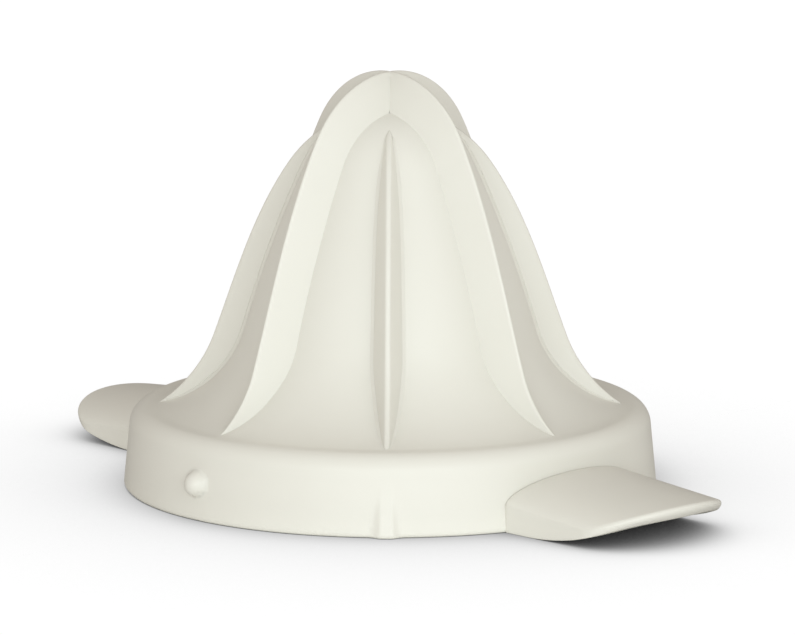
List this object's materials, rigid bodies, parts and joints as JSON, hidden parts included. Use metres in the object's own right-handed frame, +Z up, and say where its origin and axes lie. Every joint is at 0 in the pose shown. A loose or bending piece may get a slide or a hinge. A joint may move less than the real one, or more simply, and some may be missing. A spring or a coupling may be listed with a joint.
{
  "type": "citrus press",
  "caption": "Finned hollow cone on a low round skirt with two finger lugs, for pressing and turning a halved citrus fruit by hand.",
  "frame": {"origin": "on the floor under the apex, at the centre of the skirt's lower rim", "axes": "+Z up along the cone's axis; front, with one stop wedge, towards -Y; the finger lugs point to front right and back left"},
  "size_m": [0.1098, 0.1098, 0.0702],
  "materials": {
    "cream_plastic": "satin, moulded"
  },
  "bodies": {
    "root": {"cone_shell": "cream_plastic", "skirt_ring": "cream_plastic", "tall_fin_front_right": "cream_plastic", "tall_fin_back_right": "cream_plastic", "tall_fin_back_left": "cream_plastic", "tall_fin_front_left": "cream_plastic", "short_fin_front": "cream_plastic", "short_fin_right": "cream_plastic", "short_fin_back": "cream_plastic", "short_fin_left": "cream_plastic", "finger_lug_front_right": "cream_plastic", "finger_lug_back_left": "cream_plastic", "locating_pip_front_left": "cream_plastic", "locating_pip_back_right": "cream_plastic", "stop_wedge_front": "cream_plastic", "stop_wedge_back": "cream_plastic"}
  },
  "joints": []
}
